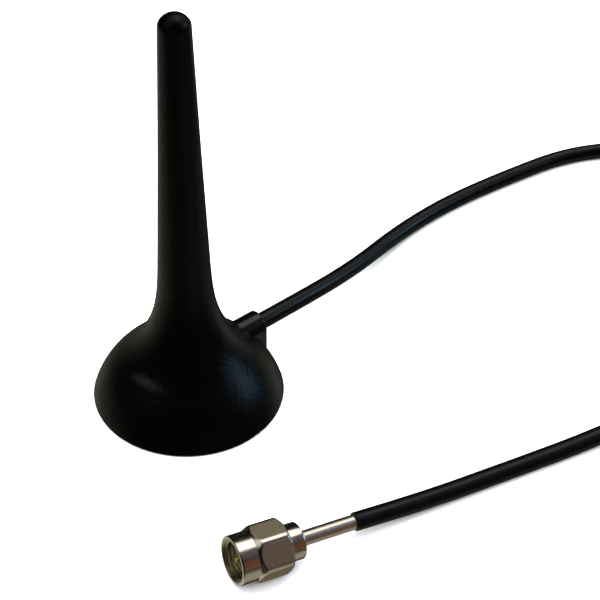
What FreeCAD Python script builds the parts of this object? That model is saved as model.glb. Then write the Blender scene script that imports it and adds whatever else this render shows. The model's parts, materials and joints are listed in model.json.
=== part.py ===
# Magnetic-mount stub antenna: a tapered mast on a round domed foot, with a coax lead that ends in
# an SMA plug. Millimetres. The origin is the centre of the foot's underside, +Z runs up the mast,
# and the lead leaves the foot along +X.
import FreeCAD, Part
import math
import os
from FreeCAD import Placement, Vector

os.makedirs("parts", exist_ok=True)

X = Vector(1, 0, 0)
Z = Vector(0, 0, 1)

# ---- driving dimensions -------------------------------------------------------------------------
# Housing.
height = 72.5            # table to the tip of the mast
foot_radius = 16.25
foot_lift = 0.1          # the rim clears the table; the rubber pad touches it
rim_fillet = 0.3
tip_radius = 2.5         # mast radius where the rounded tip begins
tip_height = 2.0
tip_corner = 1.3         # radius between the mast's side and the tip's crown
# Outline of the housing, and of the hollow inside it, as (height, radius).
housing_outline = [(foot_lift + rim_fillet, foot_radius), (3.2, 15.07), (5.9, 13.28), (9.2, 10.21),
                   (12.4, 7.75), (15.7, 6.13), (19.4, 5.09), (27.0, 4.31), (36.0, 3.9), (45.4, 3.48),
                   (58.0, 2.97), (height - tip_height, tip_radius)]
hollow_outline = [(4.6, 12.9), (5.6, 11.6), (8.6, 8.7), (11.4, 6.2), (14.0, 4.6), (18.0, 3.2),
                  (24.0, 2.5), (44.0, 2.1), (66.0, 1.75)]

# Foot stack, from the table up.
pad_radius, pad_thick = 13.6, 0.8
cup_radius, cup_wall, cup_top = 12.8, 0.8, 4.4
magnet_radius, magnet_hole_radius, magnet_thick = 11.8, 3.5, 2.7
seat_clearance = 0.1

# Matching board, radiator and what joins them.
board_radius, board_bottom, board_top = 6.2, 9.4, 10.2
ferrule_radius, ferrule_pin_radius, ferrule_pin_length = 1.85, 0.6, 0.6
flange_radius, flange_thick = 2.2, 0.8      # clear of the solder at the core
socket_depth = 3.0       # of the former's foot in the ferrule
bush_radius, bush_bottom, bush_top = 2.95, 18.4, 21.5
spring_radius, spring_wire_radius = 1.35, 0.25
spring_pitch, spring_turns = 3.0, 13
former_radius, former_top = 1.0, 65.5

# Lead: thin coax of RG174 size, and where it is held inside the foot.
jacket_radius, dielectric_radius, core_radius = 1.5, 0.76, 0.24
exit_height = 6.35       # centreline of the lead where it leaves the foot
jacket_end = 5.2
clamp_start, clamp_end, clamp_radius = 6.1, 8.1, 1.92
grommet_start, grommet_end = 8.2, 15.55
grommet_radius = 2.45    # the arch around the lead
grommet_foot = 1.2       # height of the arch's legs above the table
core_hole = 3.2          # where the core turns up through the board
braid_radius = 0.28      # the braid, twisted into a tail
braid_landing = Vector(3.0, 2.8, cup_top)
# Solder fillets, as (radius, height) from the surface that each stands on.
core_solder = [(0, 0.65), (0.35, 0.5), (0.9, 0), (0, 0)]
braid_solder = [(0, 0.8), (0.6, 0.6), (1.1, 0), (0, 0)]
pin_solder = [(0, -0.9), (0.75, -0.75), (1.5, 0), (0, 0)]

# Plug. Stations are distances back from the nut's mouth, along the plug's axis.
plug_mouth = Vector(-21.06, -37.51, 5.05)
plug_heading = -12.9     # degrees from +X, the way that the lead runs away from the mouth
plug_tilt = 5.6          # degrees, mouth up: the nut leans back on the rear end of one corner
nut_turn = -8.0          # degrees about the axis from two flats level
nut_across_flats, nut_nose_radius, nut_nose_end, nut_end = 8.0, 3.85, 3.0, 8.6
nut_front_chamfer, nut_rear_chamfer = 0.6, 0.7
mouth_chamfer = 0.5
thread_radius = 2.85     # minor radius of the 1/4-36 UNS thread
nut_groove_radius, nut_groove_start, nut_groove_end = 3.3, 5.2, 6.2
nut_rear_radius = 2.75   # turns on the plug body with a running clearance
body_radius, collar_radius = 2.7, 2.9
collar_start, body_end, collar_chamfer = 8.7, 11.15, 0.3
nose_radius, reference_plane = 2.29, 2.7
gasket_start, shoulder = 4.0, 4.5
gasket_seat_radius, gasket_radius = 2.45, 2.75
ring_start, ring_end, ring_groove_radius, ring_radius = 5.45, 5.95, 2.3, 3.15
insulator_radius, insulator_end = 2.05, 8.5
pin_radius, pin_tip, pin_tip_radius, pin_shank = 0.455, 0.65, 0.3, 0.95
contact_radius, contact_end, contact_cup = 0.63, 8.4, 7.0
stem_radius, stem_start, stem_end, plug_jacket_end = 1.2, 8.6, 20.83, 20.86
snug = 0.02              # clearance between parts that are pressed or slid together

# The lead's stored length: a neat coil held by two ties.
coil_centre = Vector(101.5, -41.0, 0)
coil_mean_radius = 17.6
coil_pitch = 3.06        # from one turn to the next, sideways and up
coil_columns, coil_layers = 5, 4
coil_entry_angle, coil_exit_angle = 15.0, 258.0
tie_thick, tie_span, tie_angles = 0.5, 16.0, (75.0, 195.0)
coil_outer_turn = coil_mean_radius + (coil_columns - 1) / 2 * coil_pitch
coil_first_layer = tie_thick + jacket_radius
coil_last_layer = coil_first_layer + (coil_layers - 1) * coil_pitch


# ---- helpers ------------------------------------------------------------------------------------
def export(name, *shapes):
    """Write one node, after checking that its solids are closed and valid."""
    solids = [solid for shape in shapes for solid in shape.Solids]
    assert solids and all(solid.isValid() for solid in solids), name
    node = Part.makeCompound(solids) if len(solids) > 1 else solids[0]
    node.exportStep("parts/" + name + ".step")
    print("%-26s %d solid  %9.2f mm3" % (name, len(solids), node.Volume))


def cylinder(radius, bottom, top):
    return Part.makeCylinder(radius, top - bottom, Vector(0, 0, bottom))


def ring(outer, inner, bottom, top):
    return cylinder(outer, bottom, top).cut(cylinder(inner, bottom - 1, top + 1))


def rod(radius, start, end):
    """A round bar along the lead's exit line."""
    return Part.makeCylinder(radius, end - start, Vector(start, 0, exit_height), X)


def turned(outline):
    """A solid of revolution about Z from straight-sided (radius, height) corners."""
    corners = [Vector(r, 0, z) for r, z in outline]
    return Part.Face(Part.makePolygon(corners + corners[:1])).revolve(Vector(0, 0, 0), Z, 360)


def revolved(edges):
    return Part.Face(Part.Wire(edges)).revolve(Vector(0, 0, 0), Z, 360)


def smooth(stations):
    """A smooth edge in the XZ plane through (height, radius) stations."""
    curve = Part.BSplineCurve()
    curve.interpolate([Vector(r, 0, z) for z, r in stations])
    return curve.toShape()


def line(a, b):
    return Part.LineSegment(a, b).toShape()


def on_plug(shape):
    """Place a shape made along +Z, with the nut's mouth at 0, on the plug's tilted axis."""
    heading, tilt = math.radians(plug_heading), math.radians(plug_tilt)
    back = Vector(math.cos(tilt) * math.cos(heading), math.cos(tilt) * math.sin(heading),
                  -math.sin(tilt))
    side = Z.cross(back).normalize()
    up = back.cross(side)
    placed = shape.copy()
    placed.Placement = Placement(FreeCAD.Matrix(side.x, up.x, back.x, plug_mouth.x,
                                                side.y, up.y, back.y, plug_mouth.y,
                                                side.z, up.z, back.z, plug_mouth.z))
    return placed


def plug_point(station):
    """The point of the plug's axis that is this far back from the nut's mouth."""
    return on_plug(Part.Vertex(0, 0, station)).Vertexes[0].Point


def pipe(route, radius, spread=0.45, report=""):
    """Straight runs joined by tangent arcs, swept with a round section. Returns solid and length."""
    edges, here = [], route[0]
    for before, corner, after in zip(route, route[1:], route[2:]):
        back, on = before - corner, after - corner
        trim = spread * min(back.Length, on.Length)
        turn = math.pi - back.getAngle(on)
        back.normalize()
        on.normalize()
        arc_radius = trim / math.tan(turn / 2)
        middle = (back + on).normalize()
        centre = corner + middle * (arc_radius / math.cos(turn / 2))
        start, end = corner + back * trim, corner + on * trim
        edges.append(line(here, start))
        edges.append(Part.Arc(start, centre - middle * arc_radius, end).toShape())
        if report:
            print("  %s: arc radius %6.1f, turn %4.1f degrees" % (report, arc_radius,
                                                                 math.degrees(turn)))
        here = end
    edges.append(line(here, route[-1]))
    path = Part.Wire(edges)
    section = Part.Wire(Part.Circle(route[0], route[1] - route[0], radius).toShape())
    solid = path.makePipeShell([section], True, False)
    if report:
        share = solid.Volume / (math.pi * radius ** 2 * path.Length)
        print("  %s: length %.1f, volume / (section x length) %.4f" % (report, path.Length, share))
    return solid, path.Length


# ---- foot and mast ------------------------------------------------------------------------------
def arch(radius, start, end, foot):
    """A block along +X with a round top about the lead and upright legs."""
    legs = Part.makeBox(end - start, 2 * radius, exit_height - foot, Vector(start, -radius, foot))
    return rod(radius, start, end).fuse(legs).removeSplitter()


def tip_edges():
    """The mast's rounded tip: a corner arc and a crown arc, tangent to each other."""
    corner_centre = Vector(tip_radius - tip_corner, 0, height - tip_height)
    rise = tip_height - tip_corner
    drop = (corner_centre.x ** 2 - rise ** 2) / (2 * rise)
    crown_centre = corner_centre - Vector(corner_centre.x, 0, drop)
    crown = height - crown_centre.z
    outward = (corner_centre - crown_centre).normalize()
    half_corner = (outward + X).normalize()
    half_crown = (outward + Z).normalize()
    meet = corner_centre + outward * tip_corner
    return [Part.Arc(corner_centre + X * tip_corner, corner_centre + half_corner * tip_corner,
                     meet).toShape(),
            Part.Arc(meet, crown_centre + half_crown * crown, Vector(0, 0, height)).toShape()]


def radome_housing():
    """One moulding: domed foot and tapered mast, hollow, open underneath, notched for the lead."""
    rim = Vector(foot_radius, 0, foot_lift + rim_fillet)
    rim_centre = Vector(foot_radius - rim_fillet, 0, foot_lift + rim_fillet)
    under = rim_centre - Z * rim_fillet
    rim_middle = rim_centre + Vector(rim_fillet, 0, -rim_fillet) * math.sqrt(0.5)
    tip = Vector(0, 0, height)
    outside = revolved([Part.Arc(under, rim_middle, rim).toShape(), smooth(housing_outline),
                        *tip_edges(), line(tip, Vector(0, 0, foot_lift)),
                        line(Vector(0, 0, foot_lift), under)])
    (low, low_radius), (high, high_radius) = hollow_outline[0], hollow_outline[-1]
    hollow = revolved([smooth(hollow_outline),
                       line(Vector(high_radius, 0, high), Vector(0, 0, high)),
                       line(Vector(0, 0, high), Vector(0, 0, low)),
                       line(Vector(0, 0, low), Vector(low_radius, 0, low))])
    cup_seat = cylinder(cup_radius + seat_clearance, 0, low)
    pad_seat = cylinder(pad_radius + seat_clearance, 0, pad_thick)
    bush_seat = cylinder(bush_radius + snug, bush_bottom - 2, bush_top)
    notch = arch(grommet_radius + snug, grommet_start, grommet_end + snug, grommet_foot - snug)
    return outside.cut(hollow.fuse([cup_seat, pad_seat, bush_seat, notch]))


def exit_grommet():
    """Arch-shaped strain relief, stepped up over the cup, with the lead's bore."""
    block = arch(grommet_radius, grommet_start, grommet_end, grommet_foot)
    edges = [e for e in block.Edges if e.BoundBox.XMin > grommet_end - 0.01
             and e.BoundBox.ZMax > exit_height + 1]
    block = block.makeFillet(0.35, edges)
    room_for_cup = cylinder(cup_radius + 2 * seat_clearance, 0, cup_top + seat_clearance)
    return block.cut(room_for_cup).cut(rod(jacket_radius + snug, 0, grommet_end + 1))


def ground_cup():
    """Pressed steel cup, open downwards, that carries the magnet and the braid's solder joint."""
    plate = cylinder(cup_radius, cup_top - cup_wall, cup_top)
    wall = ring(cup_radius, cup_radius - cup_wall, pad_thick, cup_top)
    cup = plate.fuse(wall).removeSplitter()
    top_rim = [e for e in cup.Edges if abs(e.BoundBox.ZMin - cup_top) < 0.01]
    return cup.makeFillet(cup_wall / 2, top_rim)


def ring_magnet():
    top = cup_top - cup_wall
    body = ring(magnet_radius, magnet_hole_radius, top - magnet_thick, top)
    rims = [e for e in body.Edges if abs(e.BoundBox.ZMax - e.BoundBox.ZMin) < 0.01]
    return body.makeChamfer(0.25, rims)


def matching_board():
    board = cylinder(board_radius, board_bottom, board_top)
    pin_hole = cylinder(ferrule_pin_radius + 0.05, 0, height)
    core_through = cylinder(core_radius + 0.1, 0, height)
    core_through.translate(X * core_hole)
    return board.cut(pin_hole).cut(core_through)


def radiator_ferrule():
    """Brass turning: solder pin, flange on the board, and the stub that carries the spring."""
    pin_end = board_bottom - ferrule_pin_length
    return turned([(0, pin_end), (ferrule_pin_radius, pin_end), (ferrule_pin_radius, board_top),
                   (flange_radius, board_top), (flange_radius, board_top + flange_thick),
                   (ferrule_radius, board_top + 1.5 * flange_thick), (ferrule_radius, bush_top),
                   (former_radius + snug, bush_top), (former_radius + snug, bush_top - socket_depth),
                   (0, bush_top - socket_depth)])


def radiator_spring():
    """Wound bronze wire around the former, standing on the ferrule."""
    bottom = bush_top + spring_wire_radius + snug
    helix = Part.makeHelix(spring_pitch, spring_pitch * spring_turns, spring_radius)
    start = Vector(spring_radius, 0, 0)
    climb = Vector(0, 2 * math.pi * spring_radius, spring_pitch)
    section = Part.Wire(Part.Circle(start, climb, spring_wire_radius).toShape())
    coil = Part.Wire(helix.Edges).makePipeShell([section], True, True)
    coil.translate(Z * bottom)
    return coil


def core_tail():
    """The bare core: out of the jacket, then up through the board."""
    route = [Vector(jacket_end, 0, exit_height), Vector(core_hole, 0, exit_height),
             Vector(core_hole, 0, board_top + 0.5)]
    return pipe(route, core_radius)[0]


def braid_tail():
    """The twisted braid, from the jacket's end down to the cup."""
    start = Vector(jacket_end, (jacket_radius + dielectric_radius) / 2 + 0.02, exit_height)
    route = [start, start - X * 1.2, braid_landing + Vector(0.4, -0.3, 1.1), braid_landing + Z * 0.3]
    return pipe(route, braid_radius)[0]


def solder_joints():
    """Fillets of solder at the ferrule's pin, at the core and where the braid meets the cup."""
    pin_joint, core_joint, braid_joint = (turned(outline) for outline in
                                          (pin_solder, core_solder, braid_solder))
    pin_joint.translate(Z * board_bottom)
    core_joint.translate(Vector(core_hole, 0, board_top))
    braid_joint.translate(braid_landing)
    pin = cylinder(ferrule_pin_radius + snug, board_bottom - ferrule_pin_length - snug, board_top)
    return pin_joint.cut(pin), core_joint.cut(core_tail()), braid_joint.cut(braid_tail())


def export_foot():
    export("radome_housing", radome_housing())
    export("foot_pad", cylinder(pad_radius, 0, pad_thick))
    export("ground_cup", ground_cup())
    export("ring_magnet", ring_magnet())
    export("matching_board", matching_board())
    export("radiator_ferrule", radiator_ferrule())
    export("radiator_bush", ring(bush_radius, ferrule_radius + snug, bush_bottom, bush_top))
    export("radiator_former", cylinder(former_radius, bush_top - socket_depth, former_top))
    export("radiator_spring", radiator_spring())
    export("solder_joints", *solder_joints())
    export("exit_grommet", exit_grommet())
    export("cable_anchor_clamp", rod(clamp_radius, clamp_start, clamp_end).cut(
        rod(jacket_radius + snug, 0, grommet_end)))
    export("lead_dielectric_tail", rod(dielectric_radius, jacket_end - 1, jacket_end).cut(
        rod(core_radius + snug, 0, grommet_end)))
    export("lead_core_tail", core_tail())
    export("lead_braid_tail", braid_tail())


# ---- plug ---------------------------------------------------------------------------------------
def coupling_nut():
    """Round nose, hexagon with chamfered ends, threaded mouth, ring groove and rear bearing."""
    corner_radius = nut_across_flats / math.sqrt(3)
    corners = [Vector(corner_radius * math.cos(math.radians(60 * i + nut_turn)),
                      corner_radius * math.sin(math.radians(60 * i + nut_turn)), 0)
               for i in range(7)]
    hexagon = Part.Face(Part.makePolygon(corners)).extrude(Z * nut_end)
    blank = turned([(0, 0), (nut_nose_radius - 0.2, 0), (nut_nose_radius, 0.2),
                    (nut_nose_radius, nut_nose_end),
                    (corner_radius, nut_nose_end + nut_front_chamfer),
                    (corner_radius, nut_end - nut_rear_chamfer), (nut_nose_radius, nut_end),
                    (0, nut_end)])
    nose = cylinder(nut_nose_radius, 0, nut_nose_end + nut_front_chamfer)
    hollow = turned([(0, 0), (thread_radius + mouth_chamfer, 0), (thread_radius, mouth_chamfer),
                     (thread_radius, nut_groove_start), (nut_groove_radius, nut_groove_start),
                     (nut_groove_radius, nut_groove_end), (nut_rear_radius, nut_groove_end),
                     (nut_rear_radius, nut_end), (0, nut_end)])
    return blank.common(hexagon.fuse(nose)).cut(hollow)


def plug_body():
    """Outer conductor: nose, gasket seat, shoulder, ring groove and wider rear collar."""
    return turned([(stem_radius + snug, stem_start - 0.1), (insulator_radius + snug, stem_start - 0.1),
                   (insulator_radius + snug, reference_plane), (nose_radius, reference_plane),
                   (nose_radius, gasket_start), (gasket_seat_radius, gasket_start),
                   (gasket_seat_radius, shoulder), (body_radius, shoulder),
                   (body_radius, ring_start - 0.05), (ring_groove_radius, ring_start - 0.05),
                   (ring_groove_radius, ring_end + 0.05), (body_radius, ring_end + 0.05),
                   (body_radius, collar_start), (collar_radius, collar_start),
                   (collar_radius, body_end - collar_chamfer),
                   (collar_radius - collar_chamfer, body_end), (stem_radius + snug, body_end)])


def snap_ring():
    """Open wire ring between the body's groove and the nut's."""
    whole = ring(ring_radius, ring_groove_radius + snug, ring_start, ring_end)
    return whole.cut(Part.makeBox(4, 2, 2, Vector(0, -1, ring_start - 1)))


def centre_pin():
    """Gold-plated contact: rounded tip, mating pin and the cup that takes the core."""
    return turned([(0, pin_tip), (pin_tip_radius, pin_tip), (pin_radius, pin_shank),
                   (pin_radius, reference_plane + 0.05), (contact_radius, reference_plane + 0.05),
                   (contact_radius, contact_end), (core_radius + snug, contact_end),
                   (core_radius + snug, contact_cup), (0, contact_cup)])


def export_plug():
    export("plug_coupling_nut", on_plug(coupling_nut()))
    export("plug_body", on_plug(plug_body()))
    export("plug_snap_ring", on_plug(snap_ring()))
    export("plug_gasket", on_plug(ring(gasket_radius, gasket_seat_radius + snug,
                                       gasket_start + snug, shoulder)))
    export("plug_insulator", on_plug(ring(insulator_radius, contact_radius + snug,
                                          reference_plane + 0.05, insulator_end - 0.02)))
    export("plug_centre_pin", on_plug(centre_pin()))
    export("plug_stem", on_plug(ring(stem_radius, dielectric_radius + snug, stem_start, stem_end)))
    export("plug_lead_dielectric", on_plug(ring(dielectric_radius, core_radius + snug, stem_start,
                                                stem_end)))
    export("plug_lead_core", on_plug(cylinder(core_radius, contact_cup + 0.1, stem_end)))


# ---- lead ---------------------------------------------------------------------------------------
def coil_rim(degrees, height_above_table):
    """A point on the coil's outermost turn."""
    a = math.radians(degrees)
    return coil_centre + Vector(coil_outer_turn * math.cos(a), coil_outer_turn * math.sin(a),
                                height_above_table)


def antenna_side_route():
    """From the anchor inside the foot, out along +X, down to the table and round to the coil."""
    return [Vector(jacket_end, 0, exit_height), Vector(22, 0, exit_height), Vector(40, 2.5, 4.0),
            Vector(56.5, 7.2, 1.6), Vector(71, 8.0, 1.5), Vector(87, 6.4, 1.5),
            Vector(102, 4.0, 1.5), Vector(113.6, -2.8, 1.55), Vector(119.4, -14.0, 1.65),
            Vector(122.3, -24.6, 1.8), coil_rim(coil_entry_angle, coil_first_layer)]


def plug_side_route():
    """From the coil's top layer, down to the table and up into the plug."""
    last = plug_point(plug_jacket_end)
    return [coil_rim(coil_exit_angle, coil_last_layer), Vector(79, -60.6, 7.3),
            Vector(60, -56.9, 2.3), Vector(42, -53.1, 1.5), Vector(25.9, -48.9, 1.5),
            Vector(10.9, -45.15, 1.85), last]


def section_outline(margin):
    """The coil's rounded-rectangle section in the XZ plane, this much larger all round."""
    half_wide = (coil_columns - 1) / 2 * coil_pitch + jacket_radius + margin
    low = tie_thick - margin
    high = coil_last_layer + jacket_radius + margin
    block = Part.makeBox(2 * half_wide, 1, high - low, Vector(coil_mean_radius - half_wide, 0, low))
    uprights = [e for e in block.Edges if e.BoundBox.YLength > 0.5]
    rounded = block.makeFillet(jacket_radius + margin, uprights)
    return min(rounded.Faces, key=lambda face: face.CenterOfMass.y)


def coil_sector(margin, start, span):
    solid = section_outline(margin).revolve(Vector(0, 0, 0), Z, span)
    solid.rotate(Vector(0, 0, 0), Z, start)
    solid.translate(coil_centre)
    return solid


def coil_ties():
    for angle in tie_angles:
        start = angle - tie_span / 2
        inside = coil_sector(0, start - 1, tie_span + 2)
        yield coil_sector(tie_thick, start, tie_span).cut(inside)


def export_lead():
    antenna_side, first = pipe(antenna_side_route(), jacket_radius, report="antenna side")
    plug_side, last = pipe(plug_side_route(), jacket_radius, report="plug side")
    whole_turns = coil_columns * coil_layers
    part_turn = (coil_entry_angle - coil_exit_angle) % 360 / 360
    wound = 2 * math.pi * (coil_mean_radius * whole_turns + coil_outer_turn * part_turn)
    export("lead_cable_antenna_side", antenna_side)
    export("lead_cable_plug_side", plug_side)
    export("lead_coil", coil_sector(0, 0, 360))
    export("coil_ties", *coil_ties())
    print("lead: %.0f + %.0f in the coil + %.0f = %.0f mm" % (first, wound, last,
                                                            first + wound + last))


export_foot()
export_plug()
export_lead()
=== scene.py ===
# Looks of the magnetic-mount stub antenna: a matte black mast on a domed foot, a thin coax lead and
# a nickel-plated screw-on plug. Metres, in the row frame: +Z up the mast, +X along the lead's exit.
import bmesh
import bpy
import json
import math
from mathutils import Matrix, Vector


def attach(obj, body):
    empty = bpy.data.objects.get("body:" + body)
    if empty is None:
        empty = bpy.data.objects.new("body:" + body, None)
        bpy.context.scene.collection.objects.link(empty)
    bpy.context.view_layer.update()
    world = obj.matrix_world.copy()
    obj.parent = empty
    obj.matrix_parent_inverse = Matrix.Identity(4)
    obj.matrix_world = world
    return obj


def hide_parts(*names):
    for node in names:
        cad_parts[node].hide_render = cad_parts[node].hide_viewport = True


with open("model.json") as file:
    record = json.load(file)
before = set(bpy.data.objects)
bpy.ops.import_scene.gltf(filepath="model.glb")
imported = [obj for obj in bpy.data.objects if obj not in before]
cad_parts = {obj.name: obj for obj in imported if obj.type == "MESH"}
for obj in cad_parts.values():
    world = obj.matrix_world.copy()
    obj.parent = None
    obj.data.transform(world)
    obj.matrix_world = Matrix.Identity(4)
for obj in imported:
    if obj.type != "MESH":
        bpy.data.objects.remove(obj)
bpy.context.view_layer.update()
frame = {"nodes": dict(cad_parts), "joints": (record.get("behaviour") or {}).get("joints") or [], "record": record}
nodes = frame["nodes"]

MM = 0.001
Z = Vector((0, 0, 1))


def mm(x, y, z):
    return Vector((x, y, z)) * MM


# ---- sizes and places ---------------------------------------------------------------------------
# The plug's axis comes from the joint that its nut turns about, which points out of the mouth.
nut_spin = frame["joints"][0]
PLUG_MOUTH = Vector(nut_spin["pos_m"])
PLUG_BACK = -Vector(nut_spin["axis"]).normalized()
PLUG_JACKET_END = 20.86 * MM       # station along the plug's axis where the jacket begins

JACKET_RADIUS = 1.5 * MM

# The put-away coil, as in the CAD: turns wound in layers, each a jacket's width from the next.
COIL_CENTRE = mm(101.5, -41.0, 0)
COIL_MEAN_RADIUS = 17.6 * MM
COIL_PITCH = 3.06 * MM
COIL_COLUMNS, COIL_LAYERS = 5, 4
COIL_ENTRY, COIL_EXIT = math.radians(15), math.radians(258)      # where the lead joins and leaves
COIL_FIRST_LAYER = 2.0 * MM
POINTS_PER_TURN = 16

# CAD nodes inside the plug that stay as they are.
PLUG_NODES = ("plug_insulator", "plug_snap_ring", "plug_gasket", "plug_lead_dielectric",
              "plug_lead_core")

# The lead's route before and after the coil: control points of one smooth spline with its turns.
ANTENNA_SIDE_ROUTE = [mm(5.2, 0, 6.35), mm(22, 0, 6.35), mm(40, 2.5, 4.0), mm(56.5, 7.2, 1.6),
                      mm(71, 8.0, 1.5), mm(87, 6.4, 1.5), mm(102, 4.0, 1.5), mm(113.6, -2.8, 1.55),
                      mm(119.4, -14.0, 1.65), mm(122.3, -24.6, 1.8)]
PLUG_SIDE_ROUTE = [mm(79, -60.6, 7.3), mm(60, -56.9, 2.3), mm(42, -53.1, 1.5),
                   mm(25.9, -48.9, 1.5), mm(10.9, -45.15, 1.85),
                   PLUG_MOUTH + PLUG_BACK * PLUG_JACKET_END]


# ---- material helpers ---------------------------------------------------------------------------
# The stretch of a noise's 0 to 1 over which a roughness or a colour goes from end to end.
ROUGHNESS_SPAN, COLOR_SPAN = (0.3, 0.7), (0.35, 0.65)
# Grain of the painted highlight on the dome's front.
PAINTED_HIGHLIGHT_GRAIN = 0.35 * MM


class Recipe:
    """A material whose nodes are added one by one in front of its shader."""

    def __init__(self, name, color, roughness, metallic=0.0):
        self.material = bpy.data.materials.new(name)
        self.material.use_nodes = True
        self.tree = self.material.node_tree
        self.shader = self.tree.nodes["Principled BSDF"]
        self.shader.inputs["Base Color"].default_value = (*color, 1)
        self.shader.inputs["Roughness"].default_value = roughness
        self.shader.inputs["Metallic"].default_value = metallic
        self.place = self.tree.nodes.new("ShaderNodeTexCoord").outputs["Object"]
        self.color = color
        self.bump = None

    def set(self, socket, value):
        """One of the shader's own values, the same all over the surface."""
        self.shader.inputs[socket].default_value = value
        return self

    def noise(self, size, detail=3.0, vector=None):
        """Noise with grains of this size, in metres, over the object or over another vector."""
        node = self.tree.nodes.new("ShaderNodeTexNoise")
        node.inputs["Scale"].default_value = 1 / size
        node.inputs["Detail"].default_value = detail
        self.tree.links.new(vector or self.place, node.inputs["Vector"])
        return node.outputs["Fac"]

    def ramp(self, value, low, high, to_low, to_high):
        """The value carried from one range to another, and held at the ends."""
        node = self.tree.nodes.new("ShaderNodeMapRange")
        for name, number in (("From Min", low), ("From Max", high),
                             ("To Min", to_low), ("To Max", to_high)):
            node.inputs[name].default_value = number
        self.tree.links.new(value, node.inputs["Value"])
        return node.outputs["Result"]

    def vary_roughness(self, value, low, high):
        """Roughness from low to high as the value rises."""
        spread = self.ramp(value, *ROUGHNESS_SPAN, low, high)
        self.tree.links.new(spread, self.shader.inputs["Roughness"])
        return self

    def vary_color(self, value, other):
        """Colour from the material's own to another as the value rises."""
        node = self.tree.nodes.new("ShaderNodeMix")
        node.data_type = "RGBA"
        node.inputs["A"].default_value = (*self.color, 1)
        node.inputs["B"].default_value = (*other, 1)
        self.tree.links.new(self.ramp(value, *COLOR_SPAN, 0, 1), node.inputs["Factor"])
        self.tree.links.new(node.outputs["Result"], self.shader.inputs["Base Color"])
        return self

    def add_bump(self, value, depth):
        """Relief of this depth, in metres, on top of any added before."""
        node = self.tree.nodes.new("ShaderNodeBump")
        node.inputs["Distance"].default_value = depth
        self.tree.links.new(value, node.inputs["Height"])
        if self.bump:
            self.tree.links.new(self.bump, node.inputs["Normal"])
        self.bump = node.outputs["Normal"]
        self.tree.links.new(self.bump, self.shader.inputs["Normal"])
        return self

    def along(self, axis, origin):
        """Distance along an axis through a point, as a value."""
        shifted = self.tree.nodes.new("ShaderNodeVectorMath")
        shifted.operation = "SUBTRACT"
        shifted.inputs[1].default_value = origin
        self.tree.links.new(self.place, shifted.inputs[0])
        dot = self.tree.nodes.new("ShaderNodeVectorMath")
        dot.operation = "DOT_PRODUCT"
        dot.inputs[1].default_value = axis
        self.tree.links.new(shifted.outputs["Vector"], dot.inputs[0])
        return dot.outputs["Value"]

    def painted_highlight_patch(self, centre, heading, half_sizes):
        """A grainy patch for a painted highlight: high in an ellipsoid's middle, and gone at its surface."""
        mapping = self.tree.nodes.new("ShaderNodeMapping")
        mapping.vector_type = "TEXTURE"
        mapping.inputs["Location"].default_value = centre
        mapping.inputs["Rotation"].default_value = (0, 0, heading)
        mapping.inputs["Scale"].default_value = half_sizes
        self.tree.links.new(self.place, mapping.inputs["Vector"])
        gradient = self.tree.nodes.new("ShaderNodeTexGradient")
        gradient.gradient_type = "QUADRATIC_SPHERE"
        self.tree.links.new(mapping.outputs["Vector"], gradient.inputs["Vector"])
        mean = self.tree.nodes.new("ShaderNodeMix")
        mean.inputs["Factor"].default_value = 0.5
        self.tree.links.new(gradient.outputs["Fac"], mean.inputs["A"])
        self.tree.links.new(self.noise(PAINTED_HIGHLIGHT_GRAIN), mean.inputs["B"])
        return mean.outputs["Result"]

    def turning(self, axis, origin, pitch):
        """Fine rings round an axis, as a lathe leaves them: noise that changes only along it."""
        combine = self.tree.nodes.new("ShaderNodeCombineXYZ")
        self.tree.links.new(self.along(axis, origin), combine.inputs["X"])
        return self.noise(pitch, 2.0, combine.outputs["Vector"])


# ---- materials ----------------------------------------------------------------------------------
LATHE_PITCH, LATHE_DEPTH = 0.09 * MM, 0.0015 * MM      # the rings that turning leaves on the plug
PAINTED_HIGHLIGHT_CENTRE, PAINTED_HIGHLIGHT_HEADING = mm(-10.1, -1.8, 9.05), math.radians(-76)      # painted highlight on the dome's front
PAINTED_HIGHLIGHT_HALF_SIZES = mm(8.0, 2.2, 2.4)


def housing_material():
    """Spark-eroded black plastic: matte, with a fine even grain, and a painted grey highlight in one place."""
    recipe = Recipe("housing_black", (0.0003, 0.0003, 0.0003), 0.30)
    recipe.set("Specular IOR Level", 0.12)
    recipe.add_bump(recipe.noise(0.5 * MM, 4.0), 0.07 * MM)
    recipe.add_bump(recipe.noise(0.16 * MM, 2.0), 0.012 * MM)
    # Painted highlight: the base colour turns grey in a grainy streak on the dome's front.
    painted_highlight_patch = recipe.painted_highlight_patch(PAINTED_HIGHLIGHT_CENTRE, PAINTED_HIGHLIGHT_HEADING, PAINTED_HIGHLIGHT_HALF_SIZES)
    recipe.vary_color(painted_highlight_patch, (0.0045, 0.0045, 0.004))
    return recipe.vary_roughness(recipe.noise(6 * MM), 0.27, 0.34).material


def grommet_material():
    """Soft black plastic, glossier than the housing, with a faint waviness."""
    recipe = Recipe("grommet_black", (0.0005, 0.0005, 0.0005), 0.24)
    recipe.set("Specular IOR Level", 0.32)
    recipe.add_bump(recipe.noise(1.5 * MM), 0.02 * MM)
    return recipe.vary_roughness(recipe.noise(1.2 * MM), 0.18, 0.28).material


def jacket_material():
    """Extruded black jacket: smooth, with a satin gloss that wanders a little."""
    recipe = Recipe("cable_jacket", (0.0004, 0.0004, 0.0004), 0.36)
    recipe.set("Specular IOR Level", 0.24)
    recipe.add_bump(recipe.noise(0.8 * MM, 3.0), 0.012 * MM)
    return recipe.vary_roughness(recipe.noise(3 * MM), 0.32, 0.40).material


def nickel_material(name, color, low, high):
    """Plated turning: warm nickel with fine lathe rings and uneven polish."""
    recipe = Recipe(name, color, low, 1.0)
    recipe.add_bump(recipe.turning(PLUG_BACK, PLUG_MOUTH, LATHE_PITCH), LATHE_DEPTH)
    return recipe.vary_roughness(recipe.noise(0.7 * MM), low, high).material


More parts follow.
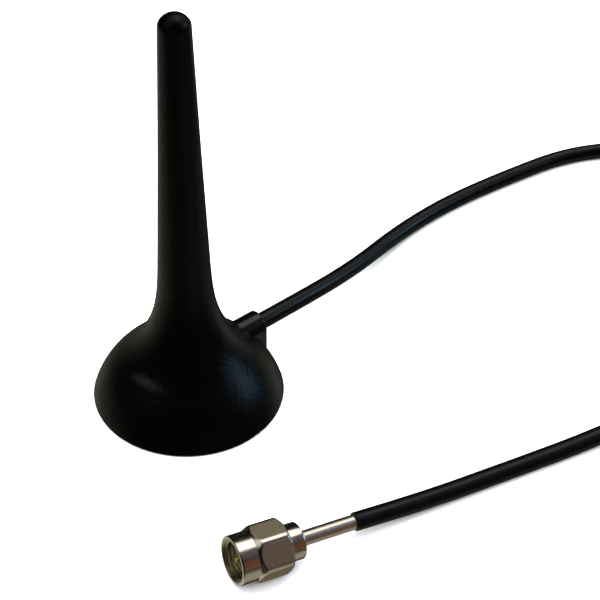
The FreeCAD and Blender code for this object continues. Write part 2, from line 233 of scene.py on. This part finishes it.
def nut_material():
    """The nut's turned nose, edges and bevels: bright nickel with lathe rings, a little uneven."""
    recipe = Recipe("nut_nickel", (0.64, 0.60, 0.54), 0.17, 1.0)
    recipe.add_bump(recipe.turning(PLUG_BACK, PLUG_MOUTH, LATHE_PITCH), LATHE_DEPTH)
    recipe.add_bump(recipe.noise(0.25 * MM, 4.0), 0.0008 * MM)
    return recipe.vary_roughness(recipe.noise(0.7 * MM), 0.15, 0.22).material


def flat_material():
    """The nut's milled flats: satin, with a fine grain and slightly uneven plating."""
    recipe = Recipe("nut_flat", (0.61, 0.52, 0.36), 0.42, 1.0)
    recipe.add_bump(recipe.noise(0.12 * MM, 4.0), 0.0015 * MM)
    recipe.vary_color(recipe.noise(1.2 * MM), (0.585, 0.49, 0.34))
    return recipe.vary_roughness(recipe.noise(0.5 * MM), 0.38, 0.48).material


def plain_material(name, color, roughness, metallic, grain_mm):
    """A surface with grain of this size, and with slightly uneven colour and gloss."""
    grain = grain_mm * MM
    recipe = Recipe(name, color, roughness, metallic)
    grains = recipe.noise(grain)
    recipe.add_bump(grains, 0.05 * grain)
    recipe.vary_color(recipe.noise(4 * grain), [0.85 * channel for channel in color])
    return recipe.vary_roughness(grains, 0.85 * roughness, 1.2 * roughness).material


def painted_shade_thread_material():
    """The nut's cut thread: duller plating than outside, darkened with painted shade, with the tool's fine marks.
    """
    # Painted shade: a darker base colour than the outside's plating, for the shade inside the nut.
    recipe = Recipe("nut_thread_painted_shade", (0.38, 0.35, 0.22), 0.32, 1.0)
    recipe.add_bump(recipe.turning(PLUG_BACK, PLUG_MOUTH, 0.08 * MM), 0.0005 * MM)
    recipe.vary_color(recipe.noise(1.5 * MM), (0.34, 0.31, 0.19))
    return recipe.vary_roughness(recipe.noise(1.0 * MM), 0.28, 0.36).material


# The rest, which shows little or not at all: name, colour, roughness, metallic, grain in mm.
PLAIN_MATERIALS = [
    ("pad_rubber", (0.022, 0.022, 0.022), 0.7, 0.0, 0.5),
    ("cup_steel", (0.55, 0.55, 0.56), 0.35, 1.0, 0.5),
    ("magnet_plating", (0.5, 0.49, 0.47), 0.3, 1.0, 0.5),
    ("board_green", (0.02, 0.12, 0.05), 0.3, 0.0, 0.8),
    ("brass", (0.75, 0.56, 0.25), 0.25, 1.0, 0.5),
    ("bush_white", (0.78, 0.78, 0.74), 0.45, 0.0, 0.5),
    ("bronze_wire", (0.7, 0.45, 0.22), 0.25, 1.0, 0.2),
    ("solder", (0.7, 0.7, 0.7), 0.22, 1.0, 0.3),
    ("clamp_plating", (0.6, 0.6, 0.6), 0.3, 1.0, 0.5),
    ("polyethylene", (0.75, 0.75, 0.7), 0.35, 0.0, 0.3),
    ("copper", (0.8, 0.42, 0.28), 0.25, 1.0, 0.2),
    ("tinned_braid", (0.62, 0.62, 0.62), 0.35, 1.0, 0.1),
    ("gasket_rubber", (0.3, 0.06, 0.04), 0.5, 0.0, 0.2),
    ("ptfe", (0.82, 0.82, 0.8), 0.4, 0.0, 0.3),
    ("gold", (1.0, 0.70, 0.22), 0.28, 1.0, 0.2),
    ("tie_black", (0.012, 0.012, 0.012), 0.5, 0.0, 0.4),
]

MATERIALS = {
    "housing_black": housing_material(),
    "grommet_black": grommet_material(),
    "cable_jacket": jacket_material(),
    "nut_nickel": nut_material(),
    "body_nickel": nickel_material("body_nickel", (0.64, 0.61, 0.56), 0.14, 0.22),
    "stem_nickel": nickel_material("stem_nickel", (0.68, 0.63, 0.56), 0.28, 0.35),
    **{name: plain_material(name, *look) for name, *look in PLAIN_MATERIALS},
    "nut_flat": flat_material(),
    "nut_thread_painted_shade": painted_shade_thread_material(),
}


def dress_cad_nodes():
    """Every CAD node that stays gets the material of its slot in the record."""
    for entry in frame["record"]["subparts"]:
        mesh = nodes[entry["node"]].data
        mesh.materials.clear()
        mesh.materials.append(MATERIALS[entry["material_slot"]])


# ---- mesh helpers -------------------------------------------------------------------------------
WELD_DISTANCE = 0.0005 * MM
CREASE_ANGLE = math.radians(42)            # faces that meet more sharply than this show an edge


def make_piece(name, points, faces, slot, body):
    """A piece with smooth shading that stays even across its flats and fillets."""
    mesh = bpy.data.meshes.new(name)
    mesh.from_pydata(points, [], faces)
    whole = bmesh.new()
    whole.from_mesh(mesh)
    bmesh.ops.remove_doubles(whole, verts=whole.verts, dist=WELD_DISTANCE)
    bmesh.ops.recalc_face_normals(whole, faces=whole.faces)
    whole.to_mesh(mesh)
    whole.free()
    mesh.shade_smooth()
    mesh.set_sharp_from_angle(angle=CREASE_ANGLE)
    mesh.materials.append(MATERIALS[slot])
    piece = bpy.data.objects.new(name, mesh)
    bpy.context.scene.collection.objects.link(piece)
    piece.modifiers.new("even_shading", "WEIGHTED_NORMAL").keep_sharp = True
    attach(piece, body)
    return piece


def grid(rows, wrap=True):
    """Points and faces of rings side by side. With wrap, the last ring joins the first."""
    columns = len(rows[0])
    faces = []
    for i in range(len(rows) if wrap else len(rows) - 1):
        here, there = i * columns, (i + 1) % len(rows) * columns
        faces += [(here + j, here + (j + 1) % columns, there + (j + 1) % columns, there + j)
                  for j in range(columns)]
    return [point for row in rows for point in row], faces


def rounded(outline, steps=6):
    """A closed outline of (x, y, edge radius) corners, with its corners rounded."""
    points = []
    for i, (x, y, edge) in enumerate(outline):
        corner = Vector((x, y))
        before = (Vector(outline[i - 1][:2]) - corner).normalized()
        after = (Vector(outline[(i + 1) % len(outline)][:2]) - corner).normalized()
        if not edge:
            points.append(corner)
            continue
        half = before.angle(after) / 2
        middle = corner + (before + after).normalized() * edge / math.sin(half)
        trim = edge / math.tan(half)
        start, end = corner + before * trim - middle, corner + after * trim - middle
        points += [middle + start.lerp(end, k / steps).normalized() * edge
                   for k in range(steps + 1)]
    return points


# ---- the plug -----------------------------------------------------------------------------------
# Stations are millimetres back from the nut's mouth, and radii millimetres from the plug's axis.
PLUG_SIDE = Z.cross(PLUG_BACK).normalized()
PLUG_UP = PLUG_BACK.cross(PLUG_SIDE)

# The nut, from its mouth back: nose, cone, hexagon, rear bevel.
SIDE_ANGLE, HALF_SIDE = math.radians(60), math.radians(30)
NUT_TURN = math.radians(-8)                # how far the nut is turned from two flats level
NUT_APOTHEM, NUT_EDGE = 4.0, 1.3           # half the width across flats; radius of its six edges
NUT_CORNER = NUT_APOTHEM / math.cos(HALF_SIDE)
EDGE_AXIS = NUT_APOTHEM - NUT_EDGE         # apothem of the hexagon that the edges' axes form
FLAT_REACH = math.atan(EDGE_AXIS / NUT_APOTHEM * math.tan(HALF_SIDE))    # half a flat's angle
NOSE_RADIUS, NOSE_END, HEXAGON_START = 3.85, 2.9, 4.0
HEXAGON_END, NUT_END = 7.9, 8.6
TURNED_CLEARANCE = 0.1                     # how far the turned outline clears the hexagon's edges
MILLED_BLEND = 0.14                        # width of the soft line between turned and milled
FLAT_TOLERANCE = 0.01                      # how near to a flat's plane its faces are

# The nut's bore: thread, groove behind it, rear bearing.
THREAD_MINOR, THREAD_MAJOR, THREAD_PITCH = 2.85, 3.175, 25.4 / 36
THREAD_CREST, THREAD_ROOT = 0.26, 0.84     # ends of the flank, in halves of a pitch
THREAD_START = 0.5                         # turns round the nut where the thread begins
THREAD_END, GROOVE_END, GROOVE_RADIUS, REAR_BORE = 5.2, 6.2, 3.3, 2.75
MOUTH_RADIUS = 3.36
BORE_START, BORE_END, BORE_TOLERANCE = 0.02, NUT_END - 0.2, 0.1       # faces that get the bore's painted shade

# The nut's turned rows as (station, radius): mouth and nose, then rear face, bearing and groove.
NOSE_ROWS = ((0, MOUTH_RADIUS + 0.03), (0, 3.64), (0.015, 3.71), (0.06, 3.78), (0.12, 3.82),
             (0.2, 3.845), (0.3, NOSE_RADIUS), (1.0, NOSE_RADIUS), (2.0, NOSE_RADIUS),
             (2.7, NOSE_RADIUS), (2.85, NOSE_RADIUS))
REAR_ROWS = ((8.56, 3.84), (8.59, 3.78), (NUT_END, 3.7), (NUT_END, 2.9), (8.58, 2.82),
             (8.5, REAR_BORE), (GROOVE_END, REAR_BORE), (GROOVE_END, GROOVE_RADIUS),
             (THREAD_END, GROOVE_RADIUS))
# Rows between them as (from, to, count): closest where the cone and the bevel cut the hexagon.
MILLED_SPANS = ((2.92, 4.3, 32), (4.3, 7.2, 8), (7.2, 8.5, 26))
FLAT_COLUMNS, EDGE_COLUMNS = 20, 16
EDGE_MARGIN = 1.15                         # how much wider than an edge its close columns reach
ROWS_PER_THREAD = 14
LATHE_COLUMNS, CONTACT_COLUMNS = 144, 64

# The other turned pieces as closed outlines of (station, radius, edge radius) corners.
SHELL_OUTLINE = (
    (8.52, 1.22, 0), (8.52, 2.07, 0), (2.7, 2.07, 0.05), (2.7, 2.29, 0.08), (4.0, 2.29, 0.05),
    (4.0, 2.45, 0.05), (4.5, 2.45, 0.05), (4.5, 2.7, 0.08), (5.4, 2.7, 0.05), (5.4, 2.3, 0.05),
    (6.0, 2.3, 0.05), (6.0, 2.7, 0.05), (8.7, 2.7, 0.03), (8.7, 2.9, 0.08), (11.15, 2.9, 0.22),
    (11.15, 1.22, 0))
TUBE_OUTLINE = (8.6, 0.78, 0), (8.6, 1.2, 0), (20.83, 1.2, 0.12), (20.83, 0.78, 0)
CONTACT_OUTLINE = (
    (0.65, 0, 0), (0.65, 0.3, 0.12), (0.95, 0.455, 0.15), (2.75, 0.455, 0), (2.75, 0.63, 0.04),
    (8.4, 0.63, 0.03), (8.4, 0.26, 0), (7.0, 0.26, 0), (7.0, 0, 0))


def on_plug(radius, angle, station):
    """The point at this radius and angle about the plug's axis, this far back from its mouth."""
    spoke = PLUG_SIDE * math.cos(angle) + PLUG_UP * math.sin(angle)
    return PLUG_MOUTH + (spoke * radius + PLUG_BACK * station) * MM


def lathe(name, outline, slot, replaced, columns=LATHE_COLUMNS):
    """A turning about the plug's axis from (station, radius, edge radius) corners."""
    rows = [[on_plug(radius, 2 * math.pi * j / columns, station) for j in range(columns)]
            for station, radius in rounded(outline)]
    piece = make_piece(name, *grid(rows), slot, "root")
    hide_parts(replaced)
    return piece


def soft_min(a, b, blend):
    """The lesser of two, rounded where they are nearly equal."""
    near = max(blend - abs(a - b), 0) / blend
    return min(a, b) - near * near * blend / 4


def off_flat(angle):
    """How far an angle is from the middle of the nearest flat."""
    return abs((angle - NUT_TURN) % SIDE_ANGLE - HALF_SIDE)


def hexagon_radius(angle):
    """The hexagon's radius at an angle, with its six edges rounded."""
    off_edge = HALF_SIDE - off_flat(angle)
    if HALF_SIDE - off_edge < FLAT_REACH:
        return NUT_APOTHEM / math.cos(HALF_SIDE - off_edge)
    reach = EDGE_AXIS / math.cos(HALF_SIDE)
    return reach * math.cos(off_edge) + math.sqrt(NUT_EDGE ** 2 - (reach * math.sin(off_edge)) ** 2)


def turned_radius(station):
    """The turned outline that the hexagon was milled from: front cone and rear bevel."""
    height = NUT_CORNER - NOSE_RADIUS
    cone = NOSE_RADIUS + height / (HEXAGON_START - NOSE_END) * (station - NOSE_END)
    bevel = NUT_CORNER - height / (NUT_END - HEXAGON_END) * (station - HEXAGON_END)
    return min(cone, NUT_CORNER + TURNED_CLEARANCE, bevel)


def thread_radius(station, angle):
    """Right-handed V thread with flat crests and roots, opened by the mouth's chamfer."""
    phase = (station / THREAD_PITCH - angle / (2 * math.pi) + THREAD_START) % 1
    rise = (abs(2 * phase - 1) - THREAD_CREST) / (THREAD_ROOT - THREAD_CREST)
    rise = max(0.0, min(1.0, rise))
    eased = rise * rise * (3 - 2 * rise)
    rise = eased * 0.5 + rise * 0.5
    thread = THREAD_MINOR + (THREAD_MAJOR - THREAD_MINOR) * rise
    return max(thread, MOUTH_RADIUS - station)


def nut_angles():
    """Columns round the nut, closer together on its six edges."""
    half_edge = (HALF_SIDE - FLAT_REACH) * EDGE_MARGIN
    for side in range(6):
        corner = NUT_TURN + math.radians(60 * side)
        for k in range(EDGE_COLUMNS):
            yield corner - half_edge + 2 * half_edge * k / EDGE_COLUMNS
        for k in range(FLAT_COLUMNS):
            yield corner + half_edge + (SIDE_ANGLE - 2 * half_edge) * k / FLAT_COLUMNS


def steps(start, end, count):
    """This many even steps from start, without the end."""
    return [start + (end - start) * k / count for k in range(count)]


def coupling_nut():
    """Round nose, hexagon with rounded edges and turned ends, thread, groove and rear bearing."""
    angles = list(nut_angles())

    def turned(places):
        return [[on_plug(radius, a, station) for a in angles] for station, radius in places]

    rows = turned(NOSE_ROWS)
    for station in [*(s for span in MILLED_SPANS for s in steps(*span)), MILLED_SPANS[-1][1]]:
        rows.append([on_plug(soft_min(hexagon_radius(a), turned_radius(station), MILLED_BLEND),
                             a, station) for a in angles])
    rows += turned(REAR_ROWS)
    count = round(THREAD_END / THREAD_PITCH * ROWS_PER_THREAD)
    for station in steps(THREAD_END, 0, count):
        rows.append([on_plug(thread_radius(station, a), a, station) for a in angles])
    nut = make_piece("coupling_nut", *grid(rows), "nut_nickel", "plug_nut")
    nut.data.materials.append(MATERIALS["nut_flat"])
    nut.data.materials.append(MATERIALS["nut_thread_painted_shade"])
    for face in nut.data.polygons:
        offset = face.center - PLUG_MOUTH
        station = offset.dot(PLUG_BACK) / MM
        angle = math.atan2(offset.dot(PLUG_UP), offset.dot(PLUG_SIDE))
        radius = math.hypot(offset.dot(PLUG_UP), offset.dot(PLUG_SIDE)) / MM
        flat = NUT_APOTHEM / math.cos(off_flat(angle))
        if NOSE_END < station < NUT_END and abs(radius - flat) < FLAT_TOLERANCE:
            face.material_index = 1
        # Bore faces take the thread material, with its painted shade.
        elif radius < GROOVE_RADIUS + BORE_TOLERANCE and BORE_START < station < BORE_END:
            face.material_index = 2
    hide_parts("plug_coupling_nut")
    return nut


def plug_pieces():
    """The plug's turned pieces, with their edges broken as a lathe leaves them."""
    body = lathe("plug_shell", SHELL_OUTLINE, "body_nickel", "plug_body")
    stem = lathe("plug_tube", TUBE_OUTLINE, "stem_nickel", "plug_stem")
    pin = lathe("centre_contact", CONTACT_OUTLINE, "gold", "plug_centre_pin", CONTACT_COLUMNS)
    return [coupling_nut(), body, stem, pin]


# ---- the coil's ties ----------------------------------------------------------------------------
TIE_ANGLES = 75, 195                       # degrees round the coil
TIE_WIDTH, TIE_THICKNESS = 4.9, 0.24       # millimetres
TIE_LAP, TIE_LAP_RISE = 10, 3              # rows that lie twice; rows over which the end climbs
TIE_COLUMNS = 8                            # faces across the strap
TIE_EDGE_PULL = 0.25                       # how far its edge points move to its middle layer


def coil_section(margin):
    """The wound coil's section, this much larger all round, as (radius, height) points in mm."""
    half = (COIL_COLUMNS - 1) / 2 * COIL_PITCH / MM + JACKET_RADIUS / MM + margin
    mean = COIL_MEAN_RADIUS / MM
    low = (COIL_FIRST_LAYER - JACKET_RADIUS) / MM - margin
    high = (COIL_FIRST_LAYER + (COIL_LAYERS - 1) * COIL_PITCH + JACKET_RADIUS) / MM + margin
    edge = JACKET_RADIUS / MM + margin
    return rounded([(mean - half, low, edge), (mean + half, low, edge), (mean + half, high, edge),
                    (mean - half, high, edge)])


def coil_tie(index, bearing):
    """A flat strap wrapped once round the coil, its end lapped over its start."""
    rings = {margin: coil_section(margin) for margin in (0, TIE_THICKNESS, 2 * TIE_THICKNESS)}
    count = len(rings[0])
    across = [TIE_WIDTH * (k / TIE_COLUMNS - 0.5) for k in range(TIE_COLUMNS + 1)]

    def strap_row(k):
        lap = min(1, max(0, (k - count + TIE_LAP_RISE) / TIE_LAP_RISE))
        inner = rings[0][k % count].lerp(rings[TIE_THICKNESS][k % count], lap)
        outer = rings[TIE_THICKNESS][k % count].lerp(rings[2 * TIE_THICKNESS][k % count], lap)
        row = []
        for place, turns in ((inner, across), (outer, across[::-1])):
            for j, offset in enumerate(turns):
                pull = TIE_EDGE_PULL if j in (0, TIE_COLUMNS) else 0.0
                at = place.lerp((inner + outer) / 2, pull)
                a = math.radians(bearing) + offset / at.x
                row.append(COIL_CENTRE + mm(at.x * math.cos(a), at.x * math.sin(a), at.y))
        return row

    rows = [strap_row(k) for k in range(count + TIE_LAP)]
    points, faces = grid(rows, wrap=False)
    columns = len(rows[0])
    faces += [tuple(range(columns)), tuple(range(len(points) - columns, len(points)))]
    return make_piece("coil_tie_%d" % index, points, faces, "tie_black", "root")


def coil_ties():
    ties = [coil_tie(i + 1, bearing) for i, bearing in enumerate(TIE_ANGLES)]
    for tie in ties:
        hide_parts("coil_ties")
    return ties


# ---- the lead -----------------------------------------------------------------------------------
def coil_turns():
    """The coil's turns, clockwise seen from above: out and in by turns, one layer on the last."""
    whole = COIL_COLUMNS * COIL_LAYERS
    swept = 2 * math.pi * whole + (COIL_ENTRY - COIL_EXIT) % (2 * math.pi)
    count = round(swept / (2 * math.pi) * POINTS_PER_TURN)
    # The spline cuts inside its control points, so they lie a little outside the turn.
    outset = 1 / math.cos(math.pi / POINTS_PER_TURN) ** 0.5
    outer = COIL_MEAN_RADIUS + (COIL_COLUMNS - 1) / 2 * COIL_PITCH
    for i in range(count + 1):
        turns = i / count * swept / (2 * math.pi)
        layer = min(int(turns / COIL_COLUMNS), COIL_LAYERS - 1)
        within = min(turns - layer * COIL_COLUMNS, COIL_COLUMNS - 1)
        inward = within if layer % 2 == 0 else COIL_COLUMNS - 1 - within
        radius = (outer - inward * COIL_PITCH) * outset
        angle = COIL_ENTRY - turns * 2 * math.pi
        height = COIL_FIRST_LAYER + layer * COIL_PITCH
        yield COIL_CENTRE + Vector((radius * math.cos(angle), radius * math.sin(angle), height))


def coax_lead():
    """One length of coax from the anchor in the foot, through the coil, to the plug's stem."""
    route = [*ANTENNA_SIDE_ROUTE, *coil_turns(), *PLUG_SIDE_ROUTE]
    curve = bpy.data.curves.new("coax_lead", "CURVE")
    curve.dimensions = "3D"
    curve.bevel_depth = JACKET_RADIUS
    curve.bevel_resolution = 6
    curve.use_fill_caps = True
    curve.resolution_u = 8
    spline = curve.splines.new("NURBS")
    spline.points.add(len(route) - 1)
    for point, place in zip(spline.points, route):
        point.co = (*place, 1)
    spline.order_u = 3
    spline.use_endpoint_u = True
    curve.materials.append(MATERIALS["cable_jacket"])
    lead = bpy.data.objects.new("coax_lead", curve)
    bpy.context.scene.collection.objects.link(lead)
    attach(lead, "root")
    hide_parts("lead_cable_antenna_side", "lead_cable_plug_side", "lead_coil")
    return lead


# ---- stage --------------------------------------------------------------------------------------
VIEW_AZIMUTH, VIEW_ELEVATION = math.radians(-40), math.radians(40.06)
VIEW_DISTANCE = 257.14 * MM
VIEW_SIDE, VIEW_RISE = 11.891 * MM, 15.260 * MM        # how far its axis passes from the origin
VIEW_LENS, VIEW_SENSOR, VIEW_SHIFT = 90, 36, 0.0692
FLOOR_HALF, FLOOR_DROP = 3.0, 0.02 * MM


def camera():
    """The photograph's view: a long lens that looks down on the object from its front right."""
    right = Vector((math.cos(VIEW_AZIMUTH), math.sin(VIEW_AZIMUTH), 0))
    forward = Z.cross(right) * math.cos(VIEW_ELEVATION) - Z * math.sin(VIEW_ELEVATION)
    up = right.cross(forward)
    data = bpy.data.cameras.new("camera")
    data.lens, data.sensor_width, data.shift_x = VIEW_LENS, VIEW_SENSOR, VIEW_SHIFT
    data.clip_start, data.clip_end = 0.01, 10
    view = bpy.data.objects.new("camera", data)
    place = right * VIEW_SIDE + up * VIEW_RISE - forward * VIEW_DISTANCE
    turn = Matrix((right, up, -forward)).transposed().to_4x4()
    view.matrix_world = Matrix.Translation(place) @ turn
    bpy.context.scene.collection.objects.link(view)
    bpy.context.scene.camera = view


def floor():
    """A pale table top. Gloss doesn't mirror it, but the room's patches below the horizon."""
    mesh = bpy.data.meshes.new("floor")
    corners = [(x * FLOOR_HALF, y * FLOOR_HALF, 0) for x, y in ((-1, -1), (1, -1), (1, 1), (-1, 1))]
    mesh.from_pydata(corners, [], [(0, 1, 2, 3)])
    recipe = Recipe("floor_white", (0.8, 0.8, 0.8), 0.6)
    recipe.set("Specular IOR Level", 0.0)
    mesh.materials.append(recipe.material)
    plane = bpy.data.objects.new("floor", mesh)
    plane.location.z = -FLOOR_DROP
    plane.visible_glossy = False
    bpy.context.scene.collection.objects.link(plane)


def soft_light(name, place, aim, size, power):
    """A large diffusing panel that lights the table, and that gloss doesn't mirror."""
    data = bpy.data.lights.new(name, "AREA")
    data.size = size
    data.energy = power
    light = bpy.data.objects.new(name, data)
    light.location = place
    light.rotation_euler = (Vector(aim) - Vector(place)).to_track_quat("-Z", "Y").to_euler()
    light.visible_glossy = False
    bpy.context.scene.collection.objects.link(light)


# What the room's gloss mirrors: soft areas of light, each with its bearing clockwise from straight
# behind the object, its elevation, the half-widths of its bright core and of its soft edge, all in
# degrees, and its colour and brightness.
ROOM = [
    ("window above", 33, 66, 17, 24, (1.0, 0.96, 0.87), 1.8),
    ("side window", 83, 25, 4, 15, (0.41, 0.71, 1.0), 6.6),
    ("ceiling", -20, 78, 12, 36, (1.0, 1.0, 0.9), 0.6),
    ("wall at the right", 104, 56, 8, 34, (0.95, 0.82, 1.0), 0.11),
    ("shelf behind", 38, 32, 6, 19, (0.84, 0.93, 1.0), 1.1),
    ("table behind", -28, -20, 8, 25, (1.0, 0.97, 0.86), 0.11),
    ("table at the left", -74, -40, 16, 46, (1.0, 1.02, 0.80), 0.45),
    ("table beyond the lead", 50, -14, 6, 24, (1.0, 1.0, 0.86), 0.54),
    ("table at the far right", 80, -36, 5, 22, (1.0, 1.0, 0.92), 0.26),
    ("table at the right", 136, -52, 14, 36, (1.0, 0.92, 0.72), 0.34),
    ("wood at the right", 126, 8, 8, 30, (1.0, 0.40, 0.18), 0.15),
    ("ceiling at the left", -104, 53, 6, 22, (1.0, 0.98, 0.9), 0.9),
    ("table in front", -142, -68, 10, 36, (1.0, 0.96, 0.80), 0.5),
]
ROOM_BELOW, ROOM_ABOVE = (0.045, 0.04, 0.033), (0.008, 0.007, 0.007)
HORIZON_SOFTNESS = 0.1


def room_direction(bearing, elevation):
    """A bearing and an elevation in degrees, as a direction in the row frame."""
    heading = math.pi / 2 + VIEW_AZIMUTH - math.radians(bearing)
    rise = math.radians(elevation)
    return Vector((math.cos(rise) * math.cos(heading), math.cos(rise) * math.sin(heading),
                   math.sin(rise)))


def room():
    """The world: a dim room with soft patches of light, for gloss to mirror."""
    world = bpy.data.worlds.new("room")
    world.use_nodes = True
    tree = world.node_tree
    direction = tree.nodes.new("ShaderNodeTexCoord").outputs["Generated"]

    def share(axis, low, high):
        """0 to 1 as the direction's cosine with an axis goes from low to high."""
        dot = tree.nodes.new("ShaderNodeVectorMath")
        dot.operation = "DOT_PRODUCT"
        dot.inputs[1].default_value = axis
        tree.links.new(direction, dot.inputs[0])
        span = tree.nodes.new("ShaderNodeMapRange")
        span.interpolation_type = "SMOOTHSTEP"
        span.inputs["From Min"].default_value = low
        span.inputs["From Max"].default_value = high
        tree.links.new(dot.outputs["Value"], span.inputs["Value"])
        return span.outputs["Result"]

    def blend(kind, factor, first, second):
        """A mix of a colour or a socket with a second colour."""
        node = tree.nodes.new("ShaderNodeMix")
        node.data_type, node.blend_type = "RGBA", kind
        tree.links.new(factor, node.inputs["Factor"])
        if isinstance(first, tuple):
            node.inputs["A"].default_value = (*first, 1)
        else:
            tree.links.new(first, node.inputs["A"])
        node.inputs["B"].default_value = (*second, 1)
        return node.outputs["Result"]

    color = blend("MIX", share(Z, -HORIZON_SOFTNESS, HORIZON_SOFTNESS), ROOM_BELOW, ROOM_ABOVE)
    for _, bearing, elevation, core, edge, tint, level in ROOM:
        seen = share(room_direction(bearing, elevation), math.cos(math.radians(edge)),
                     math.cos(math.radians(core)))
        color = blend("ADD", seen, color, tuple(level * channel for channel in tint))
    tree.links.new(color, tree.nodes["Background"].inputs["Color"])
    bpy.context.scene.world = world


def studio():
    bpy.context.scene.view_settings.view_transform = "Standard"
    room()
    floor()
    soft_light("top", place=(-0.05, 0.1, 1.2), aim=(0.04, -0.01, 0), size=3.0, power=120.0)


dress_cad_nodes()
lead = coax_lead()
camera()
carried = [*plug_pieces(), *coil_ties(), *(nodes[name] for name in PLUG_NODES)]
studio()
